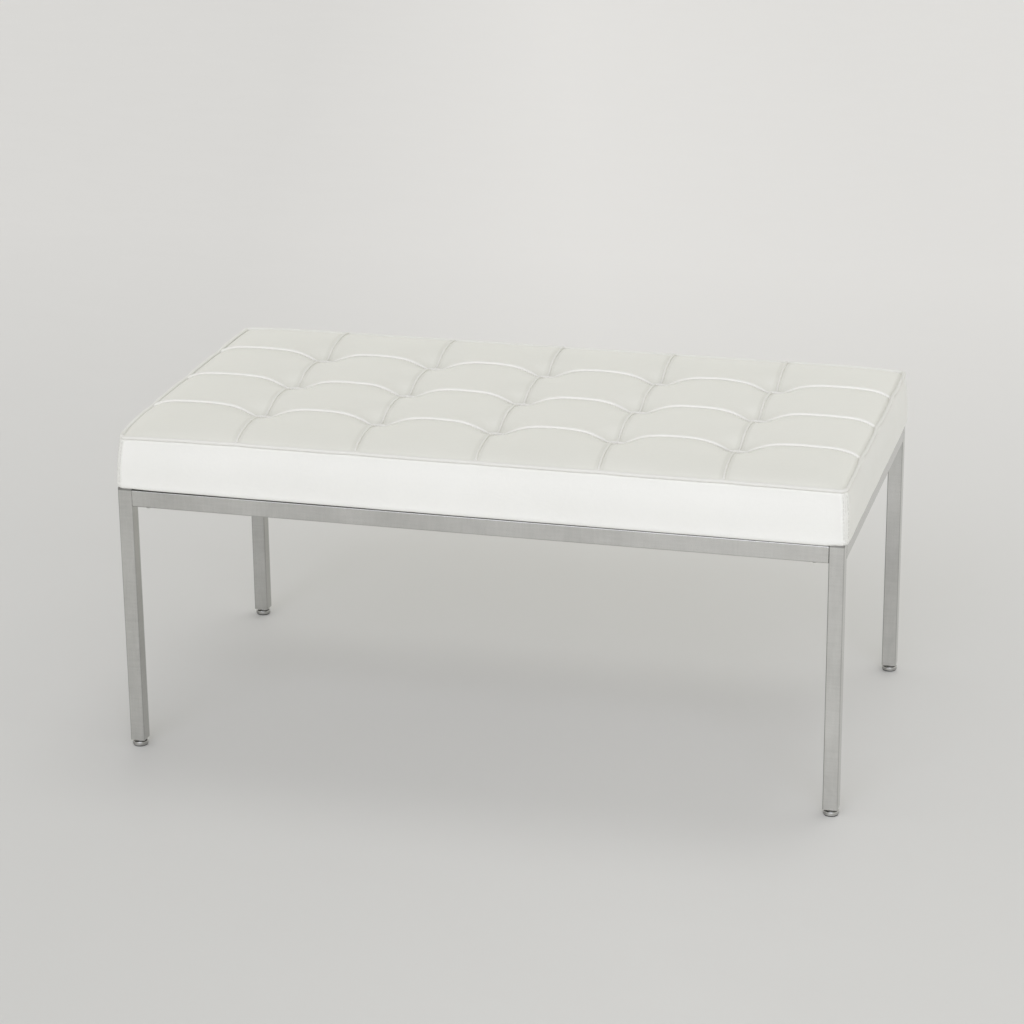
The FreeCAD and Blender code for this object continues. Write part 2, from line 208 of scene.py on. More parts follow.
def sag(a, b):
    """How far the bottom edge hangs between the legs, a little more towards the right."""
    rightwards = np.clip(a / HALF_X, 0, 1)
    on_long_side = np.abs(b) >= HALF_Y - TINY
    from_corner = np.where(on_long_side, HALF_X - np.abs(a), HALF_Y - np.abs(b))
    free = np.clip((from_corner - 22.0 + 10.0 * rightwards) / (30.0 - 16.0 * rightwards), 0, 1)
    return (SAG + 0.45 * a / HALF_X) * free * free * (3 - 2 * free)


def to_seams(ga, gb):
    """Distances to the nearest cross seam and to the nearest long seam."""
    both = (ga, SEAM_A), (gb, SEAM_B)
    return [np.min([np.abs(places - seam) for seam in seams], axis=0) for places, seams in both]


def to_crossings(ga, gb):
    """Distance to the nearest crossing of two seams."""
    return np.min([np.hypot(ga - ca, gb - cb) for ca, cb in CROSSINGS], axis=0)


# ---------------- inflating the cushion

CELLS_A, CELLS_B, CELLS_H = 26, 21, 11  # cells across one leather square, and down the sides
SEAM_HOLD = 0.55
EDGE_HOLD = 0.8
PRESSURE = 4.0
FRAMES = 20
TOP_CAP = 3.6  # the most that inflation may move the top and the sides
SIDE_CAP = 2.6


def grid_faces(ids):
    """Quads over a two-dimensional array of vertex numbers."""
    quads = np.stack([ids[:-1, :-1], ids[1:, :-1], ids[1:, 1:], ids[:-1, 1:]], axis=-1)
    return quads.reshape(-1, 4).tolist()


def closed_faces(nx, ny, levels):
    """A closed pillow whose points are a top grid, rings down its sides and an inner underside.

    Returns the top grid's vertex numbers, the rings (the first is the grid's edge, anticlockwise from
    its front left corner), which grid places the inner underside fills, and the faces.
    """
    ids = np.arange(nx * ny).reshape(nx, ny)
    edge = np.concatenate([ids[:-1, 0], ids[-1, :-1], ids[:0:-1, -1], ids[0, :0:-1]])
    rings, count = [edge], nx * ny
    for _ in range(levels):
        rings.append(np.arange(count, count + len(edge)))
        count += len(edge)
    faces = grid_faces(ids)
    for upper, lower in zip(rings, rings[1:]):
        around = np.stack([lower, upper], axis=0)
        faces += grid_faces(np.concatenate([around, around[:, :1]], axis=1).T[:, ::-1])
    under = np.full((nx, ny), -1)
    under.flat[edge] = rings[-1]
    inner = under < 0
    under[inner] = np.arange(count, count + inner.sum())
    faces += grid_faces(under[:, ::-1])
    return ids, rings, inner, faces


def closed_form():
    """The whole cushion as one closed mesh of even squares, with how firmly each point is held."""
    nx, ny = COLUMNS * CELLS_A + 1, ROWS * CELLS_B + 1
    a = np.linspace(-HALF_X, HALF_X, nx)
    b = np.linspace(-HALF_Y, HALF_Y, ny)
    ga, gb = np.meshgrid(a, b, indexing="ij")
    ids, rings, inner, faces = closed_faces(nx, ny, CELLS_H - 1)
    la, lb = ga.ravel()[rings[0]], gb.ravel()[rings[0]]
    to_a, to_b = to_seams(ga, gb)
    held = np.where(np.minimum(to_a, to_b) < 1.0, SEAM_HOLD, 0.0)
    held = np.where(to_crossings(ga, gb) < 8.0, 1.0, held)
    held[[0, -1], :] = EDGE_HOLD
    held[:, [0, -1]] = EDGE_HOLD
    points, holds = [top_form(ga, gb).reshape(-1, 3)], [held.ravel()]
    for level in range(1, CELLS_H):
        points.append(side_form(la, lb, level / (CELLS_H - 1)))
        holds.append(np.full(len(la), 1.0 if level == CELLS_H - 1 else 0.0))
    x, y = rounded_plan(ga[inner], gb[inner], BOTTOM_X, BOTTOM_Y, CORNER)
    points.append(np.stack([x, y, np.full(len(x), HEM_Z + BOTTOM_ROUND)], axis=-1))
    holds.append(np.ones(len(x)))
    return np.concatenate(points), faces, np.concatenate(holds), ids, rings


def placed(name, data):
    """A new object in the scene."""
    made = bpy.data.objects.new(name, data)
    bpy.context.scene.collection.objects.link(made)
    return made


def inflated(points, faces, holds):
    """The mesh after it is blown up as cloth."""
    mesh = bpy.data.meshes.new("pillow")
    mesh.from_pydata((points * MM).tolist(), [], faces)
    pillow = placed("pillow", mesh)
    group = pillow.vertex_groups.new(name="held")
    for weight in np.unique(holds):
        if weight > 0:
            group.add(np.flatnonzero(holds == weight).tolist(), float(weight), "REPLACE")
    cloth = pillow.modifiers.new("cloth", "CLOTH")
    settings = cloth.settings
    settings.quality = 5
    settings.mass = 0.4
    settings.tension_stiffness = 18
    settings.compression_stiffness = 18
    settings.shear_stiffness = 8
    settings.bending_stiffness = 1.0
    settings.air_damping = 2.0
    settings.use_pressure = True
    settings.uniform_pressure_force = PRESSURE
    settings.effector_weights.gravity = 0
    settings.vertex_group_mass = "held"
    cloth.point_cache.frame_start = 1
    cloth.point_cache.frame_end = FRAMES
    scene = bpy.context.scene
    for f in range(1, FRAMES + 1):
        scene.frame_set(f)
    done = pillow.evaluated_get(bpy.context.evaluated_depsgraph_get()).to_mesh()
    blown = np.zeros(len(points) * 3, np.float32)
    done.vertices.foreach_get("co", blown)
    bpy.data.objects.remove(pillow)
    bpy.data.meshes.remove(mesh)
    scene.frame_set(1)
    return blown.reshape(-1, 3).astype(float) / MM


def capped(move, most):
    """A field of movements, none longer than the most."""
    size = np.linalg.norm(move, axis=-1, keepdims=True)
    return move * np.minimum(1, most * np.tanh(size / most) / np.maximum(size, 1e-9))


def smoothed(field, times=1):
    """A field of movements evened out between neighbours."""
    for _ in range(times):
        wide = np.pad(field, ((1, 1), (1, 1), (0, 0)), mode="edge")
        field = (4 * field + wide[2:, 1:-1] + wide[:-2, 1:-1] + wide[1:-1, 2:] + wide[1:-1, :-2]) / 8
    return field


def swelling():
    """How far each place on the top and on the four sides moves when the cushion is inflated."""
    points, faces, holds, ids, rings = closed_form()
    move = inflated(points, faces, holds) - points
    top = smoothed(capped(move[ids], TOP_CAP), 2)
    nx, ny = ids.shape
    around = np.stack([move[ring] for ring in rings], axis=1)
    around[:, 0] = top.reshape(-1, 3)[rings[0]]
    around[:, 1:] = capped(around[:, 1:], SIDE_CAP)
    around = np.concatenate([around, around[:1]])
    starts = np.cumsum([0, nx - 1, ny - 1, nx - 1, ny - 1])
    names = ("front", "right", "rear", "left")
    sides = {n: smoothed(around[s : e + 1], 2) for n, s, e in zip(names, starts, starts[1:])}
    return top, sides


def cubic_weights(places, count):
    """Rows of weights that read a smooth curve through evenly spaced values."""
    at = np.clip(places, 0, count - 1)
    start = np.clip(np.floor(at).astype(int), 0, count - 2)
    t = at - start
    parts = (
        -t / 2 + t**2 - t**3 / 2,
        1 - 2.5 * t**2 + 1.5 * t**3,
        t / 2 + 2 * t**2 - 1.5 * t**3,
        (t**3 - t**2) / 2,
    )
    weights = np.zeros((len(at), count))
    for k, part in enumerate(parts):
        column = np.clip(start + k - 1, 0, count - 1)
        np.add.at(weights, (np.arange(len(at)), column), part)
    return weights


def read_field(field, u, v):
    """Values of a field at the places where columns u cross rows v, both as shares from 0 to 1."""
    wu = cubic_weights(np.asarray(u) * (field.shape[0] - 1), field.shape[0])
    wv = cubic_weights(np.asarray(v) * (field.shape[1] - 1), field.shape[1])
    return np.einsum("iu,jv,uvk->ijk", wu, wv, field, optimize=True)


TOP_MOVE, SIDE_MOVE = swelling()


def share(value, half):
    """A pattern place as a share of the way across."""
    return (np.asarray(value) + half) / (2 * half)


def top_surface(a, b):
    """The inflated top where pattern columns a cross pattern rows b."""
    ga, gb = np.meshgrid(a, b, indexing="ij")
    return top_form(ga, gb) + read_field(TOP_MOVE, share(a, HALF_X), share(b, HALF_Y))


# ---------------- mesh helpers


def piece(name, points, faces, material, body="root"):
    """A mesh object from points in millimetres, riding on a CAD body."""
    mesh = bpy.data.meshes.new(name)
    mesh.from_pydata((np.asarray(points) * MM).tolist(), [], faces)
    mesh.validate()
    mesh.polygons.foreach_set("use_smooth", [True] * len(mesh.polygons))
    mesh.materials.append(material)
    made = placed(name, mesh)
    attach(made, body)
    return made


def mark(made, name, values):
    """Stores one number a point on a mesh, for its material to read."""
    layer = made.data.attributes.new(name, "FLOAT", "POINT")
    layer.data.foreach_set("value", np.asarray(values, np.float32).ravel())


def thickened(made, thickness):
    """The sheet given a thickness, inwards."""
    solid = made.modifiers.new("thickness", "SOLIDIFY")
    solid.thickness = thickness * MM
    solid.offset = -1
    return made


def smooth_noise(x, seed, scale):
    """A soft random curve along a line, between about -1 and 1."""
    r = np.random.default_rng(seed)
    waves = [np.sin(x * r.uniform(0.5, 1.8) / scale + r.uniform(0, 6.3)) for _ in range(5)]
    return sum(waves) / 3


def ring_ids(rings, around):
    """Vertex numbers of rings of points, with the first of each ring again at its end."""
    ids = np.arange(rings * around).reshape(rings, around)
    return np.concatenate([ids, ids[:, :1]], axis=1)


def tube(path, radius, around=12, closed=False):
    """Points and faces of a cord along a path. The radius may be one number or one a point."""
    path = np.asarray(path, float)
    n = len(path)
    radius = np.broadcast_to(radius, (n,))
    step = np.roll(path, -1, 0) - np.roll(path, 1, 0)
    if not closed:
        step[0], step[-1] = path[1] - path[0], path[-1] - path[-2]
    along = step / np.linalg.norm(step, axis=1, keepdims=True)
    side = np.cross(along, (0, 0, 1))
    side /= np.linalg.norm(side, axis=1, keepdims=True)
    up = np.cross(side, along)
    turn = np.linspace(0, 2 * np.pi, around, endpoint=False)
    ring = np.cos(turn)[None, :, None] * side[:, None] + np.sin(turn)[None, :, None] * up[:, None]
    points = path[:, None] + ring * radius[:, None, None]
    ids = ring_ids(n, around)
    if closed:
        ids = np.concatenate([ids, ids[:1]], axis=0)
    faces = grid_faces(ids)
    if not closed:
        faces += end_caps(ids)
    return points.reshape(-1, 3), faces


def sheet(points, flip=False):
    """Flat points and faces of a grid of points, facing up or flipped."""
    ids = np.arange(points[..., 0].size).reshape(points.shape[:2])
    return points.reshape(-1, 3), grid_faces(ids[:, ::-1] if flip else ids)


def end_caps(ids):
    """The two end faces of a tube, from its rings of vertex numbers."""
    return [ids[0, :-1].tolist(), ids[-1, :-1][::-1].tolist()]


def sideways_tube(path, radius, around=6):
    """A thin cord for a path that runs nearly straight up or down, drawn in at its ends."""
    turn = np.linspace(0, 2 * np.pi, around, endpoint=False)
    taper = np.full(len(path), radius)
    taper[0] = taper[-1] = radius * 0.45
    ring = np.stack([np.cos(turn), np.sin(turn), np.zeros(around)], axis=-1)
    points = path[:, None] + ring[None] * taper[:, None, None]
    ids = ring_ids(len(path), around)
    return points.reshape(-1, 3), grid_faces(ids) + end_caps(ids)


def gathered(parts):
    """Several (points, faces) as one."""
    points, faces, count = [], [], 0
    for p, f in parts:
        points.append(np.asarray(p, float).reshape(-1, 3))
        faces += [[i + count for i in face] for face in f]
        count += len(points[-1])
    return np.concatenate(points), faces


# ---------------- materials


class Nodes:
    """Short ways of adding nodes to a tree."""

    def __init__(self, tree, space):
        self.tree = tree
        self.coordinates = tree.nodes.new("ShaderNodeTexCoord").outputs[space]

    def node(self, kind, **inputs):
        """A new node, with numbers set on its inputs and sockets linked to them."""
        node = self.tree.nodes.new("ShaderNode" + kind)
        for key, value in inputs.items():
            socket = node.inputs[key.replace("_", " ")]
            if isinstance(value, bpy.types.NodeSocket):
                self.link(value, socket)
            else:
                socket.default_value = value
        return node

    def link(self, source, target):
        self.tree.links.new(source, target)

    def axes(self, vector=None):
        """The X, Y and Z of a vector, or of the place."""
        node = self.node("SeparateXYZ", Vector=vector or self.coordinates)
        return [node.outputs[axis] for axis in "XYZ"]

    def spread(self, value, low, high, from_low=0.0, from_high=1.0):
        """A value moved from one range to another."""
        ranges = {"From_Min": from_low, "From_Max": from_high, "To_Min": low, "To_Max": high}
        return self.node("MapRange", Value=value, **ranges).outputs["Result"]

    def maths(self, operation, first, second):
        node = self.node("Math")
        node.operation = operation
        for socket, value in zip(node.inputs, (first, second)):
            if isinstance(value, (int, float)):
                socket.default_value = value
            else:
                self.link(value, socket)
        return node.outputs["Value"]


class Shader(Nodes):
    """A Principled material and short ways of adding nodes to it."""

    def __init__(self, name, **constants):
        self.material = bpy.data.materials.new(name)
        self.material.use_nodes = True
        super().__init__(self.material.node_tree, "Object")
        self.bsdf = self.tree.nodes["Principled BSDF"]
        for key, value in constants.items():
            self.bsdf.inputs[key.replace("_", " ")].default_value = value

    def stretched(self, *scale):
        """Object coordinates stretched by three factors."""
        return self.node("Mapping", Vector=self.coordinates, Scale=scale).outputs["Vector"]

    def noise(self, scale, detail=3.0, roughness=0.5, vector=None, distortion=0.0):
        settings = {"Scale": scale, "Detail": detail, "Roughness": roughness, "Distortion": distortion}
        return self.node("TexNoise", Vector=vector or self.coordinates, **settings).outputs["Fac"]

    def cells(self, scale, feature="DISTANCE_TO_EDGE"):
        node = self.node("TexVoronoi", Vector=self.coordinates)
        node.feature = feature
        node.inputs["Scale"].default_value = scale
        return node.outputs["Distance"]

    def wave(self, scale, vector, distortion=0.0):
        settings = {"Scale": scale, "Distortion": distortion, "Detail": 2.0}
        return self.node("TexWave", Vector=vector, **settings).outputs["Fac"]

    def blend(self, first, second, first_share, second_share):
        """Two values added, each times its share."""
        first = self.maths("MULTIPLY", first, first_share)
        return self.maths("ADD", first, self.maths("MULTIPLY", second, second_share))

    def attribute(self, name):
        node = self.node("Attribute")
        node.attribute_name = name
        return node.outputs["Fac"]

    def colours(self, value, stops):
        """A value turned into a colour, by stops of (place, colour)."""
        node = self.node("ValToRGB", Fac=value)
        ramp = node.color_ramp.elements
        while len(ramp) < len(stops):
            ramp.new(0.5)
        for element, (place, colour) in zip(ramp, stops):
            element.position = place
            element.color = (*colour, 1)
        return node.outputs["Color"]

    def mixed(self, amount, first, second):
        """The first colour, with an amount of the second mixed in."""
        node = self.node("Mix")
        node.data_type = "RGBA"
        sockets = [s for s in node.inputs if s.type == "RGBA"]
        self.link(amount, node.inputs[0])
        for socket, value in zip(sockets, (first, second)):
            if isinstance(value, tuple):
                socket.default_value = (*value, 1)
            else:
                self.link(value, socket)
        return next(s for s in node.outputs if s.type == "RGBA")

    def bump(self, height, distance, strength, under=None):
        node = self.node("Bump", Height=height, Distance=distance, Strength=strength)
        if under is not None:
            self.link(under, node.inputs["Normal"])
        return node.outputs["Normal"]

    def finish(self, colour=None, roughness=None, normal=None):
        for key, source in (("Base Color", colour), ("Roughness", roughness), ("Normal", normal)):
            if source is not None:
                self.link(source, self.bsdf.inputs[key])
        return self.material


def leather(name, light, dark, shine):
    """White leather: fine pebble grain, soft creases near seams, painted shade in the folds and seams,
    and painted shade towards the left end.
    """
    s = Shader(name, Coat_Weight=0.1, Coat_Roughness=0.3, Sheen_Weight=0.04, Specular_IOR_Level=0.5)
    fold_shade = s.attribute("fold")
    cloud = s.noise(5.5, 4.0, 0.55)
    fine = s.noise(240.0, 3.0, 0.6)
    tone = s.colours(s.blend(cloud, fine, 0.75, 0.25), [(0.3, dark), (0.7, light)])
    # painted shade: a darker leather colour, mixed in where the fold mark is set
    painted_shade_colour = tuple(c * k for c, k in zip(dark, (0.8, 0.795, 0.77)))
    colour = s.mixed(s.maths("MULTIPLY", fold_shade, 0.28), tone, painted_shade_colour)
    # painted shade: the leather darker towards the left end of the bench
    across, _, _ = s.axes()
    colour = s.mixed(s.spread(across, 0.2, 0.0, -0.46, 0.46), colour, painted_shade_colour)
    grain = s.cells(820.0)
    pores = s.noise(1500.0, 2.0, 0.6)
    creases = s.noise(70.0, 5.0, 0.62, s.stretched(1.0, 1.6, 1.0), 1.2)
    waves = s.noise(16.0, 3.0, 0.5)
    normal = s.bump(waves, 0.0012, 0.35)
    normal = s.bump(creases, 0.0007, 0.45, normal)
    normal = s.bump(grain, 0.00018, 0.5, normal)
    normal = s.bump(pores, 0.00008, 0.5, normal)
    rough = s.spread(cloud, shine - 0.05, shine + 0.07, 0.3, 0.7)
    return s.finish(colour, s.maths("ADD", rough, s.maths("MULTIPLY", fold_shade, 0.12)), normal)


def chrome(name):
    """Chromed tube: faint drawing lines, wipe marks and pitting, with painted reflections in patches
    and at the corners, painted shade on its left end, right-facing sides and rear, and a painted shadow
    under the seat.
    """
    s = Shader(name, Metallic=1.0)
    marks = s.noise(9.0, 6.0, 0.65)
    upright = s.noise(42.0, 3.0, 0.6, s.stretched(9.0, 9.0, 0.8))
    level = s.noise(42.0, 3.0, 0.6, s.stretched(0.8, 0.8, 9.0))
    lines = s.maths("MULTIPLY", s.maths("ADD", upright, level), 0.5)
    specks = s.cells(310.0, "F1")
    x, y, z = s.axes()
    streaks = s.blend(marks, lines, 0.5, 0.5)
    # painted shade: a darker copy of the chrome tone, used towards the left end
    bright = s.colours(streaks, [(0.38, (0.62, 0.618, 0.598)), (0.62, (0.72, 0.718, 0.697))])
    shaded_tone = s.colours(streaks, [(0.38, (0.54, 0.538, 0.52)), (0.62, (0.65, 0.648, 0.627))])
    tone = s.mixed(s.spread(x, 0.0, 1.0, -0.46, 0.2), shaded_tone, bright)
    # painted reflection: soft darker patches standing in for reflections of darker surroundings
    drift = s.noise(13.0, 3.0, 0.55, s.stretched(1.0, 1.0, 0.55), 1.6)
    tone = s.mixed(s.spread(drift, 0.0, 0.2, 0.5, 0.78), tone, (0.33, 0.33, 0.32))
    wear_and_painted_shade = s.spread(specks, 0.14, 0.0, 0.02, 0.09)
    colour = s.mixed(wear_and_painted_shade, tone, (0.45, 0.45, 0.44))
    seat = HEM_Z * MM
    # painted shadow: a dark band at the top of the legs and rails just under the seat, strongest at the
    # left end
    seat_gap_shadow = s.maths("MULTIPLY", s.spread(z, 0.0, 0.64, seat - 0.0033, seat - 0.0024),
                    s.spread(x, 1.0, 0.88, -0.46, 0.4))
    colour = s.mixed(seat_gap_shadow, colour, (0.16, 0.16, 0.155))
    facing = s.axes(s.node("NewGeometry").outputs["Normal"])
    nx, ny, nz = (s.maths("ABSOLUTE", part, 0.0) for part in facing)
    # painted reflection: darker rounded edges, less on those facing right
    upper = s.maths("MULTIPLY", nz, s.maths("ADD", nx, ny))
    corner = s.spread(s.maths("MAXIMUM", s.maths("MULTIPLY", nx, ny), upper), 0.0, 0.5, 0.12, 0.45)
    edge_shade = s.maths("MULTIPLY", corner, s.spread(facing[0], 1.0, 0.35, -0.2, 0.2))
    # painted shade: chrome faces that point right are darker
    colour = s.mixed(s.spread(facing[0], 0.0, 0.24, 0.5, 0.95), colour, (0.2, 0.2, 0.19))
    # painted shade: chrome darker towards the rear
    colour = s.mixed(s.spread(y, 0.0, 0.11, -0.2, 0.25), colour, (0.2, 0.2, 0.19))
    colour = s.mixed(edge_shade, colour, (0.15, 0.15, 0.145))
    rough = s.spread(marks, 0.07, 0.16, 0.3, 0.75)
    rough = s.maths("ADD", rough, s.spread(lines, 0.0, 0.04, 0.35, 0.65))
    normal = s.bump(s.noise(22.0, 1.0, 0.4), 0.0006, 0.25)
    normal = s.bump(lines, 0.00003, 0.4, normal)
    return s.finish(colour, rough, normal)


def zinc(name):
    """Zinc-plated steel with a mottled, slightly brushed surface, and painted shade just under the leg.
    """
    s = Shader(name, Metallic=1.0)
    spangle = s.cells(160.0, "F1")
    blotch = s.noise(90.0, 4.0, 0.6)
    colour = s.colours(s.blend(spangle, blotch, 0.6, 0.6),
                       [(0.2, (0.40, 0.40, 0.385)), (0.8, (0.66, 0.66, 0.63))])
    z, leg = s.axes()[2], LEG_Z * MM
    # painted shade: a dark band on the collar just under the leg
    under_leg_shade = s.maths("MULTIPLY", s.spread(z, 0.0, 0.88, leg - 0.0023, leg - 0.0015),
                     s.spread(z, 1.0, 0.0, leg + 0.0004, leg + 0.0012))
    colour = s.mixed(under_leg_shade, colour, (0.05, 0.05, 0.05))
    rough = s.spread(blotch, 0.28, 0.46, 0.3, 0.7)
    return s.finish(colour, rough, s.bump(s.noise(700.0, 3.0, 0.6), 0.0001, 0.5))


def plain_solid(name, light, dark, rough, grain, depth, **constants):
    """Moulded plastic, rubber, foam or twine: mottled colour over a fine grain."""
    s = Shader(name, **constants)
    blotch = s.noise(grain / 7, 4.0, 0.6)
    fine = s.noise(grain, 3.0, 0.6)
    colour = s.colours(blotch, [(0.3, dark), (0.7, light)])
    rough = s.spread(fine, rough - 0.07, rough + 0.09, 0.3, 0.7)
    return s.finish(colour, rough, s.bump(fine, depth, 0.6))


def plywood(name):
    """Plywood: long grain on the faces and thin plies on the edges."""
    s = Shader(name, Specular_IOR_Level=0.35)
    grain = s.noise(26.0, 5.0, 0.62, s.stretched(0.12, 1.0, 1.0), 0.6)
    plies = s.wave(210.0, s.stretched(0.0, 0.0, 1.0))
    stops = [(0.3, (0.36, 0.24, 0.13)), (0.55, (0.55, 0.40, 0.24)), (0.8, (0.68, 0.53, 0.35))]
    face = s.colours(grain, stops)
    colour = s.mixed(s.spread(plies, 0.0, 0.25), face, (0.33, 0.21, 0.11))
    return s.finish(colour, s.spread(grain, 0.55, 0.75, 0.3, 0.7), s.bump(grain, 0.0003, 0.6))


def cloth(name, light, dark, threads, rough):
    """Plain-woven or bonded cloth: crossed threads with stray fibres."""
    s = Shader(name, Sheen_Weight=0.25, Sheen_Roughness=0.6)
    across = s.wave(threads, s.stretched(1.0, 0.0, 0.0), 0.6)
    down = s.wave(threads, s.stretched(0.0, 1.0, 0.0), 0.6)
    weave = s.maths("MAXIMUM", across, down)
    fibre = s.noise(180.0, 5.0, 0.7)
    colour = s.colours(s.blend(weave, fibre, 0.4, 0.6), [(0.25, dark), (0.75, light)])
    normal = s.bump(fibre, 0.0004, 0.5, s.bump(weave, 0.0002, 0.5))
    return s.finish(colour, s.spread(fibre, rough - 0.08, rough + 0.08, 0.3, 0.7), normal)


MATERIALS = {
    "chrome": chrome("polished_chrome"),
    # painted light and shade: top, sides and piping are one leather, given a darker colour on the top
    # and lighter colours on the sides and the piping
    "leather": leather("white_leather", (0.807, 0.805, 0.744), (0.767, 0.765, 0.704), 0.4),
    "side_leather": leather("side_leather", (0.84, 0.84, 0.796), (0.80, 0.80, 0.757), 0.42),
    "piping_leather": leather("piping_leather", (0.852, 0.848, 0.805), (0.812, 0.808, 0.765), 0.38),
    "zinc_steel": zinc("zinc_plate"),
    "plywood": plywood("birch_plywood"),
    "dust_cloth": cloth("dust_cloth", (0.46, 0.455, 0.44), (0.36, 0.355, 0.345), 520.0, 0.9),
    "black_plastic": plain_solid(
        "black_plastic", (0.035, 0.035, 0.037), (0.022, 0.022, 0.023), 0.45, 900.0, 0.00008),
    "rubber": plain_solid(
        "black_rubber", (0.04, 0.04, 0.04), (0.025, 0.025, 0.025), 0.75, 600.0, 0.00012),
    "foam": plain_solid("seat_foam", (0.86, 0.80, 0.58), (0.74, 0.67, 0.45), 0.9, 420.0, 0.0008),
    "wadding": plain_solid("polyester_wadding", (0.90, 0.90, 0.89), (0.80, 0.80, 0.79), 0.95, 260.0,
                           0.0012, Sheen_Weight=0.3),
    "twine": plain_solid("waxed_thread", (0.72, 0.71, 0.67), (0.60, 0.59, 0.55), 0.6, 1400.0, 0.0002),
}


def dress_cad():
    """Gives every CAD node the material of its slot."""
    for part in frame["record"]["subparts"]:
        node = frame["nodes"][part["node"]]
        node.data.materials.clear()
        node.data.materials.append(MATERIALS[part["material_slot"]])


# ---------------- the leather top

# Distances from a seam at which a leather square has points.
FROM_SEAM = [0.9, 1.3, 1.8, 2.4, 3.1, 4.1, 5.4, 7.1, 9.3, 12.2, 15.8, 20, 25, 31, 38, 46, 55, 65]
STITCH_LINE = 4.8  # from a cross seam to the stitching beside it
PIPING_STEP = 2.2
PIPING_END = 1.5  # from the rim to the ends of the piping
WELT_STEP = 4.0
WELT_AROUND = 16


def panel_places(start, end):
    """Pattern places across one square, close together near its seams."""
    half = (end - start) / 2
    near = [d for d in FROM_SEAM if d < half - 4]
    return np.array([start + d for d in near] + [start + half] + [end - d for d in reversed(near)])


def tucked(distance):
    """How far the leather is turned down, at a distance from the middle of a seam."""
    return 0.75 * bell(distance, 1.9) + 0.35 * bell(distance, 5.5)


def radial_puckers(ga, gb):
    """Small folds in the leather that run out from the crossings."""
    drop = np.zeros(ga.shape)
    for k, (ca, cb) in enumerate(CROSSINGS):
        r = np.random.default_rng(100 + k)
        reach = np.hypot(ga - ca, gb - cb)
        angle = np.arctan2(gb - cb, ga - ca)
        for fold in range(8):
            middle = fold * math.pi / 4 + r.uniform(0.25, 0.55)
            off = np.angle(np.exp(1j * (angle - middle))) * reach
            length = r.uniform(12, 22)
            drop += r.uniform(0.1, 0.3) * bell(off, 1.7) * bell(reach - 0.45 * length, 0.55 * length)
    return drop


def squares():
    """Twenty-four leather squares, each turned down into the seams round it."""
    parts, fold_shade = [], []
    edges_a = [-HALF_X] + SEAM_A + [HALF_X]
    edges_b = [-HALF_Y] + SEAM_B + [HALF_Y]
    for a0, a1 in zip(edges_a, edges_a[1:]):
        for b0, b1 in zip(edges_b, edges_b[1:]):
            a, b = panel_places(a0, a1), panel_places(b0, b1)
            ga, gb = np.meshgrid(a, b, indexing="ij")
            to_a, to_b = np.minimum(ga - a0, a1 - ga), np.minimum(gb - b0, b1 - gb)
            to_rim = np.minimum(HALF_X - np.abs(ga), HALF_Y - np.abs(gb))
            down = np.minimum(tucked(to_a) + tucked(to_b), 1.8) + 0.9 * bell(to_rim, 2.0)
            stitched = 0.75 + 0.25 * np.cos(2 * np.pi * gb / STITCH_PITCH)
            down = down + 0.4 * bell(to_a - STITCH_LINE, 1.1) * stitched
            points = top_surface(a, b)
            points[..., 2] -= down + radial_puckers(ga, gb)
            parts.append(sheet(points))
            # painted shade: the fold mark darkens each square along its seams, beside its stitching and
            # round the crossings
            fold = bell(np.minimum(to_a, to_b), 2.6) + 0.7 * bell(to_a - STITCH_LINE, 1.2)
            fold = fold + 0.8 * bell(to_crossings(ga, gb), 5.0)
            fold_shade.append(np.clip(fold, 0, 1.4).ravel())
    points, faces = gathered(parts)
    made = piece("leather_squares", points, faces, MATERIALS["leather"])
    mark(made, "fold", np.concatenate(fold_shade))
    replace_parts(thickened(made, LEATHER), "top_panels")


def seam_path(fixed, start, end, lengthwise, ends_down, lift):
    """The line of the piping in one seam, from start to end along the pattern."""
    places = np.linspace(start, end, int((end - start) / PIPING_STEP) + 1)
    path = top_surface(places, [fixed])[:, 0] if lengthwise else top_surface([fixed], places)[0]
    path[:, 2] += lift + 0.12 * smooth_noise(places + 7 * fixed, int(abs(fixed)) + 3, 9.0)
    path[:, 1 if lengthwise else 0] += 0.25 * smooth_noise(places, int(abs(fixed)) + 31, 14.0)
    path[:, 2] -= ends_down * (bell(places - start, 3.0) + bell(places - end, 3.0))
    return path


def piping_in_seams():
    """Piping in the long seams, and in the cross seams between them."""
    rows, end = [], HALF_X - PIPING_END
    for b in SEAM_B:
        path = seam_path(b, -end, end, True, 1.8, 0.35)
        places = np.linspace(-end, end, len(path))
        pinch = sum(bell(np.abs(places - a) - 11.0, 3.0) for a in SEAM_A)
        path[:, 2] -= 0.5 * pinch
        rows.append(tube(path, ROW_PIPING_R * (1 - 0.35 * pinch)))
    points, faces = gathered(rows)
    made = piece("piping_long_seams", points, faces, MATERIALS["piping_leather"])
    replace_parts(made, "row_piping")
    stops = [PIPING_END - HALF_Y] + SEAM_B + [HALF_Y - PIPING_END]
    pieces = []
    for a in SEAM_A:
        for start, end in zip(stops, stops[1:]):
            path = seam_path(a, start, end, False, 1.4, -0.15)
            pieces.append(tube(path, COLUMN_PIPING_R))
    points, faces = gathered(pieces)
    made = piece("piping_cross_seams", points, faces, MATERIALS["piping_leather"])
    # painted shade: the whole cross-seam piping is marked darker than the long-seam piping
    mark(made, "fold", np.full(len(points), 1.3))
    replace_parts(made, "column_piping")


def edge_places(half):
    """Pattern places along one side of the cushion, about a step apart and closer at the corners."""
    return np.concatenate([
        np.linspace(-half, CORNER - half, 5)[:-1],
        np.linspace(CORNER - half, half - CORNER, int(2 * half / WELT_STEP)),
        np.linspace(half - CORNER, half, 5)[1:],
    ])


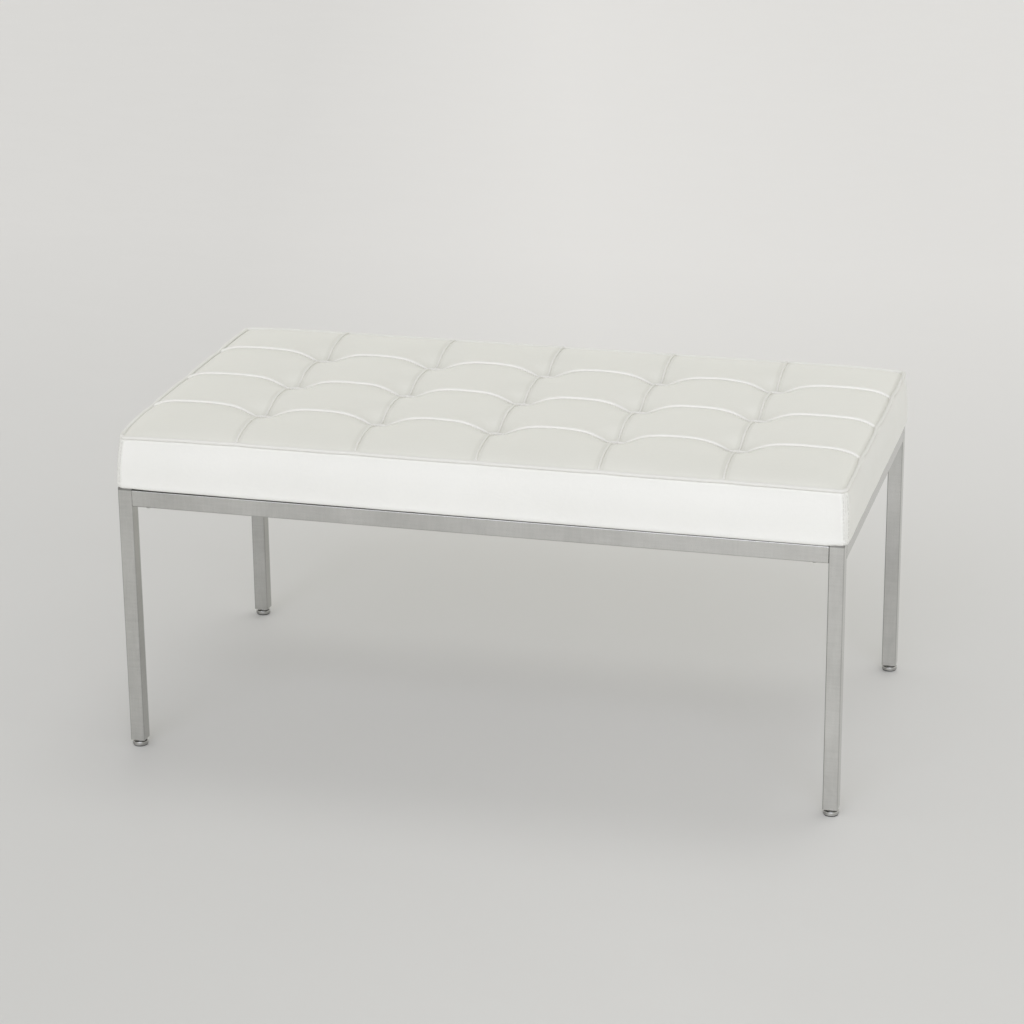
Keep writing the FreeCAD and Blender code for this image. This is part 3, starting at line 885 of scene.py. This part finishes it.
def welt():
    """The piped cord round the top edge."""
    run_a, run_b = edge_places(HALF_X), edge_places(HALF_Y)
    sides = [
        (top_surface(run_a, [-HALF_Y])[:-1, 0], run_a[:-1], -HALF_Y),
        (top_surface([HALF_X], run_b)[0, :-1], HALF_X, run_b[:-1]),
        (top_surface(run_a[::-1], [HALF_Y])[:-1, 0], run_a[::-1][:-1], HALF_Y),
        (top_surface([-HALF_X], run_b[::-1])[0, :-1], -HALF_X, run_b[::-1][:-1]),
    ]
    path = []
    for points, a, b in sides:
        lift = 1.0 + b / HALF_Y
        swell = points[:, 2] - (CROWN_Z - roll(a, b) - droop(a, b))
        points[:, 2] = WELT_Z + lift - droop(a, b) + 0.35 * swell
        path.append(points)
    path = np.concatenate(path)
    along = np.arange(len(path)) * WELT_STEP
    path[:, 2] += 0.15 * smooth_noise(along, 5, 17.0)
    radius = WELT_R + 0.05 * smooth_noise(along, 6, 12.0)
    points, faces = tube(path, radius, WELT_AROUND, closed=True)
    made = piece("edge_welt", points, faces, MATERIALS["piping_leather"])
    # painted shade: the welt is marked a little darker all round, and much darker towards the front and
    # the right side
    wear_and_painted_shade = np.maximum(bell(path[:, 1] + HALF_Y, 20.0), bell(path[:, 0] - HALF_X, 20.0))
    mark(made, "fold", np.repeat(0.3 + 1.3 * wear_and_painted_shade, WELT_AROUND))
    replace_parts(made, "perimeter_piping")


# ---------------- the leather sides

# Each side's pattern places for t from -1 to 1, and half its length.
SIDES = {
    "front": (lambda t: (t * HALF_X, np.full_like(t, -HALF_Y)), HALF_X),
    "right": (lambda t: (np.full_like(t, HALF_X), t * HALF_Y), HALF_Y),
    "rear": (lambda t: (-t * HALF_X, np.full_like(t, HALF_Y)), HALF_X),
    "left": (lambda t: (np.full_like(t, -HALF_X), -t * HALF_Y), HALF_Y),
}
FROM_CORNER = np.array([0, 0.45, 1.1, 1.6, 2.2, 3, 4, 5.2, 6.6, 8.2, 10.5, 13.5, 17.5, 23, 30])
HEM_INSETS = (6.0, 10.0, 15.0, 20.0, HEM)
FIRST_STITCH = 5.0  # down from the welt
STITCH_LENGTH = 3.6
STITCH_R = 0.36


def boxing_surface(name, t, h):
    """The inflated side where columns t, from -1 to 1, cross levels h, from 0 to 1."""
    place, _ = SIDES[name]
    a, b = place(np.asarray(t, float))
    form = side_form(a[:, None], b[:, None], h[None, :])
    return form + read_field(SIDE_MOVE[name], share(t, 1), h)


def boxing(name):
    """One leather side, from behind the welt down and round the bottom edge to a hem under the deck."""
    place, half = SIDES[name]
    middle = np.linspace(38.0 - half, half - 38.0, int(2 * half / 9))
    along = np.concatenate([FROM_CORNER - half, middle, (half - FROM_CORNER)[::-1]])
    a, b = place(along / half)
    h = np.linspace(0, 1, int(WALL / 1.25))
    below = h * WALL
    to_corner = half - np.abs(along)
    to_stitches = to_corner - SEAM_TO_STITCH
    stitched = 0.5 + 0.5 * np.cos(2 * np.pi * (below - FIRST_STITCH) / STITCH_PITCH)

    inset = 0.7 * bell(to_corner, 1.0)[:, None] + (2.4 * bell(below, 2.2) - 1.0)[None, :]
    inset = inset + 0.45 * bell(to_stitches, 2.4)[:, None] * stitched[None, :]
    inset = inset + 0.3 * bell(to_stitches, 0.9)[:, None]
    ripple = 0.22 * smooth_noise(along, len(name) * 7, 24.0)
    inset = inset + ripple[:, None] * bell(h - 1.0, 0.25)[None, :]
    normal = np.stack([*outward(a, b), np.zeros_like(a)], axis=-1)
    wall = boxing_surface(name, along / half, h) - normal[:, None, :] * inset[..., None]

    rows = [wall[:, k] for k in range(len(h))]
    foot = rows[-1]
    for angle in (22.0, 45.0, 67.0, 90.0):
        inwards, down = 1 - math.cos(math.radians(angle)), math.sin(math.radians(angle))
        rows.append(foot - normal * BOTTOM_ROUND * inwards - np.array([0, 0, BOTTOM_ROUND * down]))
    turned_under = rows[-1][:, 2]
    for k, inset in enumerate(HEM_INSETS):
        radius = max(CORNER - inset, 0.4)
        x, y = rounded_plan(a, b, BOTTOM_X - inset, BOTTOM_Y - inset, radius)
        fold = 0.35 * smooth_noise(along, len(name) * 5 + k, 7.0) - 0.3
        z = turned_under * (1 - inset / HEM) + (HEM_Z + 0.05) * (inset / HEM)
        rows.append(np.stack([x, y, np.minimum(z + np.minimum(fold, 0) * 0.3, HEM_Z + 0.1)], axis=-1))

    points, faces = sheet(np.stack(rows, axis=1), flip=True)
    made = piece("leather_" + name, points, faces, MATERIALS["side_leather"])
    unseen = len(rows) - len(h)
    reach = np.concatenate([below, WALL + np.arange(unseen) * 3.0])
    # painted shade: the fold mark darkens each side at its corner seams, just under the welt, where it
    # turns under, and in the stitch holes
    fold = bell(to_corner, 2.2)[:, None] + 0.9 * bell(reach, 2.4)[None, :]
    fold = fold + 0.5 * bell(reach - WALL - 4, 4.0)[None, :]
    holes = bell(to_stitches, 0.8)[:, None] * np.append(stitched, np.zeros(unseen))[None, :] ** 4
    mark(made, "fold", np.clip(fold + 2.2 * holes, 0, 2.2))
    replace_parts(thickened(made, LEATHER), "boxing_" + name)


def stitch_rows():
    """Two rows of topstitching down each corner, one on each side of its seam."""
    stitches = []
    for name, (place, half) in SIDES.items():
        for end in (-1, 1):
            t = end * (half - SEAM_TO_STITCH) / half
            for k in range(int((WALL - FIRST_STITCH) / STITCH_PITCH)):
                start = FIRST_STITCH + (k + 0.14) * STITCH_PITCH
                h = np.linspace(start, start + STITCH_LENGTH, 7) / WALL
                line = boxing_surface(name, [t], h)[0]
                nx, ny = outward(*place(np.array([t])))
                lift = 0.55 + 0.5 * np.sin(np.linspace(0, np.pi, 7))
                line = line + np.stack([nx * lift, ny * lift, np.zeros(7)], axis=-1)
                stitches.append(sideways_tube(line, STITCH_R))
    points, faces = gathered(stitches)
    made = piece("corner_stitches", points, faces, MATERIALS["twine"])


# ---------------- the pad inside the leather

PAD_LEVELS = (0.15, 0.3, 0.45, 0.6, 0.75)  # of its sides, as shares of the way down the leather's
PAD_RIM_INSET = 4.5
PAD_SIDE_INSET = 3.2


def seat_pad():
    """Foam and wadding as one closed, padded form just inside the leather."""
    nx, ny = 2 * COLUMNS * 12 + 1, 2 * ROWS * 10 + 1
    a, b = np.linspace(-HALF_X, HALF_X, nx), np.linspace(-HALF_Y, HALF_Y, ny)
    _, rings, inner, faces = closed_faces(nx, ny, len(PAD_LEVELS) + 1)
    ga, gb = np.meshgrid(a, b, indexing="ij")
    top = top_surface(a, b)
    to_a, to_b = to_seams(ga, gb)
    top[..., 2] -= 2.0 + 2.6 * np.maximum(bell(to_a, 6.0), bell(to_b, 6.0))
    top[..., :2] *= [1 - PAD_RIM_INSET / HALF_X, 1 - PAD_RIM_INSET / HALF_Y]
    top.reshape(-1, 3)[rings[0], 2] -= 3.0
    la, lb = ga.ravel()[rings[0]], gb.ravel()[rings[0]]
    normal = np.stack([*outward(la, lb), np.zeros_like(la)], axis=-1)
    points = [top.reshape(-1, 3)] + [side_form(la, lb, h) - normal * PAD_SIDE_INSET for h in PAD_LEVELS]
    for low in (points[-1].copy(), top[inner].copy()):
        low[:, 2] = DECK_Z + 0.1
        points.append(low)
    made = piece("seat_pad", np.concatenate(points), faces, MATERIALS["wadding"])
    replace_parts(made, "foam_core", "wadding")


# ---------------- underside


def dust_cover():
    """A thin grey cloth stapled under the deck, a little slack between its staples."""
    low, high = box_mm("dust_cover")
    x = np.linspace(low[0], high[0], 121)
    y = np.linspace(low[1], high[1], 73)
    gx, gy = np.meshgrid(x, y, indexing="ij")
    in_x, in_y = high[0] - np.abs(gx), high[1] - np.abs(gy)
    slack = 2.2 * (1 - bell(in_x, 90.0)) * (1 - bell(in_y, 70.0))
    pleats = 0.45 * np.sin(gx / 6.1 + 0.8 * np.sin(gx / 41.0)) * bell(in_y, 16.0)
    pleats = pleats + 0.45 * np.sin(gy / 6.1 + 0.8 * np.sin(gy / 37.0)) * bell(in_x, 16.0)
    edge = np.clip(np.minimum(in_x, in_y) / 3.0, 0, 1)
    z = low[2] + 0.1 - slack - np.maximum(pleats * edge, -0.1)
    points, faces = sheet(np.stack([gx, gy, z], axis=-1), flip=True)
    made = piece("dust_cover_cloth", points, faces, MATERIALS["dust_cloth"])
    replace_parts(thickened(made, 0.35), "dust_cover")


# ---------------- glides

THREAD_PITCH = 1.25
THREAD_R = 4.0
THREAD_DEPTH = 0.7
# Places along one turn and heights of the ridge, as shares of its pitch and its depth.
THREAD_PROFILE = [(0.0, 1.0), (0.16, 1.0), (0.5, 0.0), (0.62, 0.0), (1.0, 1.0)]
COLLAR_R = 7.1
COLLAR_FLATS = 12.6  # across the flats of the hexagon
CREASE_DEGREES = 32


def threaded_rod(x, y, low, high, around=28):
    """A screw thread: a ridge that climbs round a core, fading out at both ends."""
    steps = int((high - low) / THREAD_PITCH * around)
    step = np.arange(steps + 1)
    turn = step * 2 * np.pi / around
    climb = low + step * THREAD_PITCH / around - THREAD_PITCH / 2
    fade = np.clip(np.minimum(step, steps - step) / around, 0, 1)
    rows = []
    for offset, height in THREAD_PROFILE:
        r = THREAD_R - THREAD_DEPTH * (1 - height * fade)
        z = np.clip(climb + offset * THREAD_PITCH, low, high)
        rows.append(np.stack([x + r * np.cos(turn), y + r * np.sin(turn), z], axis=-1))
    return sheet(np.stack(rows, axis=1))


def turned(x, y, outline, around=40, hexagon=None):
    """A turned form from (radius, height) pairs, closed at both ends, and cut by a hexagon's flats."""
    angle = np.linspace(0, 2 * np.pi, around, endpoint=False)
    rings = []
    for radius, height in outline:
        r = np.full(around, float(radius))
        if hexagon:
            r = np.minimum(r, hexagon / 2 / np.cos((angle + np.pi / 6) % (np.pi / 3) - np.pi / 6))
        level = np.full(around, height)
        rings.append(np.stack([x + r * np.cos(angle), y + r * np.sin(angle), level], axis=-1))
    ids = ring_ids(len(outline), around)
    ends = [ids[0, :-1][::-1].tolist(), ids[-1, :-1].tolist()]
    return np.stack(rings).reshape(-1, 3), grid_faces(ids[:, ::-1]) + ends


def glide_stem(corner):
    """A threaded stem with a chamfered hexagonal collar and a flange held in the foot."""
    low, high = box_mm("glide_stem_" + corner)
    x, y = (low[:2] + high[:2]) / 2
    foot_z = box_mm("glide_foot_" + corner)[1][2]
    core = THREAD_R - THREAD_DEPTH
    shaft = turned(x, y, [(core, LEG_Z - 0.3), (core, high[2] - 0.8), (core - 0.7, high[2])])
    outline = [(5.9, foot_z + 0.1), (6.7, foot_z + 0.35), (COLLAR_R, foot_z + 0.55),
               (COLLAR_R, LEG_Z - 0.45), (6.7, LEG_Z - 0.25), (6.0, LEG_Z - 0.02)]
    collar = turned(x, y, outline, 72, COLLAR_FLATS)
    neck = turned(x, y, [(THREAD_R - 0.05, low[2]), (THREAD_R - 0.05, foot_z + 0.2)])
    rim = [(5.3, 0.0), (5.45, 0.15), (5.45, 1.4), (5.3, 1.55)]
    flange = turned(x, y, [(radius, low[2] + up) for radius, up in rim])
    thread = threaded_rod(x, y, LEG_Z - 0.2, high[2] - 0.8)
    points, faces = gathered([shaft, thread, collar, neck, flange])
    made = piece("stem_" + corner, points, faces, MATERIALS["zinc_steel"], "glide_stem_" + corner)
    made.data.set_sharp_from_angle(angle=math.radians(CREASE_DEGREES))
    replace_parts(made, "glide_stem_" + corner)


# ---------------- studio


def floor():
    """A wide pale floor, faintly mottled like painted paper, with painted light towards the back and
    painted shade to the left and a little to the right.
    """
    radius, rings, around = 60.0, 24, 96
    steps = radius * (np.arange(rings + 1) / rings) ** 2.5
    angle = np.linspace(0, 2 * np.pi, around, endpoint=False)
    points = [(0.0, 0.0, 0.0)]
    for r in steps[1:]:
        points += [(r * math.cos(t), r * math.sin(t), 0.0) for t in angle]
    faces = [(0, 1 + k, 1 + (k + 1) % around) for k in range(around)]
    for ring in range(rings - 1):
        start = 1 + ring * around
        for k in range(around):
            n = (k + 1) % around
            faces.append((start + k, start + around + k, start + around + n, start + n))
    mesh = bpy.data.meshes.new("studio_floor")
    mesh.from_pydata(points, [], faces)
    s = Shader("studio_paper", Specular_IOR_Level=0.25)
    mottle = s.noise(1.1, 5.0, 0.55)
    scuffs = s.noise(14.0, 6.0, 0.7, s.stretched(0.5, 1.0, 1.0))
    mottled = s.blend(mottle, scuffs, 0.6, 0.4)
    paper = s.colours(mottled, [(0.3, (0.760, 0.756, 0.732)), (0.7, (0.780, 0.776, 0.752))])
    x, y, _ = s.axes()
    # painted light: the floor lighter towards the back, beyond the bench
    far = s.mixed(s.spread(y, 0.0, 1.0, 0.45, 2.3), paper, (0.89, 0.878, 0.852))
    # painted shade: the floor darker to the left and a little darker to the right
    across = s.maths("ADD", x, s.maths("MULTIPLY", y, 0.27))
    left, right = s.spread(across, 0.04, 0.30, 0.15, -0.58), s.spread(across, 0.0, 0.09, 0.1, 0.9)
    colour = s.mixed(s.maths("ADD", left, right), far, (0.53, 0.528, 0.515))
    rough = s.spread(scuffs, 0.5, 0.64, 0.3, 0.7)
    mesh.materials.append(s.finish(colour, rough, s.bump(scuffs, 0.0008, 0.2)))
    placed("studio_floor", mesh)


def sun_light(name, towards, strength, angle, colour=(1, 1, 1)):
    """A broad, even light from one direction."""
    data = bpy.data.lights.new(name, "SUN")
    data.energy = strength
    data.angle = math.radians(angle)
    data.color = colour
    placed(name, data).rotation_euler = Vector(towards).to_track_quat("-Z", "Y").to_euler()


HORIZON, ZENITH = 1.33, 0.29  # brightness of the surroundings
HAZE = 0.68  # the share of it left right at the horizon


def studio():
    """Pale surroundings, brightest a little above the horizon, a broad front light and a top light."""
    world = bpy.data.worlds.new("studio")
    bpy.context.scene.world = world
    world.use_nodes = True
    back = world.node_tree.nodes["Background"]
    back.inputs["Color"].default_value = (1.0, 0.995, 0.955, 1)
    sky = Nodes(world.node_tree, "Generated")
    up = sky.axes()[2]
    glow, haze = sky.spread(up, HORIZON, ZENITH), sky.spread(up, HAZE, 1.0, 0.0, 0.12)
    sky.link(sky.maths("MULTIPLY", glow, haze), back.inputs["Strength"])
    sun_light("front_light", (-0.12, 0.88, -0.42), 1.06, 60, (0.985, 0.995, 1.16))
    sun_light("back_light", (-0.12, -0.28, -0.93), 0.3, 26)
    view = bpy.context.scene.view_settings
    view.view_transform = "Standard"
    view.look = "None"
    view.exposure = 0.0
    view.gamma = 1.0


def camera():
    """The camera, at its place and turned by yaw, pitch and roll."""
    data = bpy.data.cameras.new("camera")
    data.lens = CAMERA_LENS
    data.sensor_width = SENSOR
    data.clip_start, data.clip_end = 0.05, 200
    cp, sp = math.cos(CAMERA_PITCH), math.sin(CAMERA_PITCH)
    forward = Vector((-math.sin(CAMERA_YAW) * cp, math.cos(CAMERA_YAW) * cp, -sp))
    right = forward.cross(Vector((0, 0, 1))).normalized()
    up = right.cross(forward)
    c, s = math.cos(CAMERA_ROLL), math.sin(CAMERA_ROLL)
    right, up = c * right + s * up, c * up - s * right
    made = placed("camera", data)
    turn = Matrix((right, up, -forward)).transposed().to_4x4()
    made.matrix_world = Matrix.Translation(CAMERA_PLACE) @ turn
    bpy.context.scene.camera = made


# ---------------- everything

camera()
studio()
floor()
dress_cad()
seat_pad()
squares()
piping_in_seams()
welt()
for side_name in SIDES:
    boxing(side_name)
stitch_rows()
dust_cover()
for corner_name in ("front_left", "front_right", "rear_left", "rear_right"):
    glide_stem(corner_name)
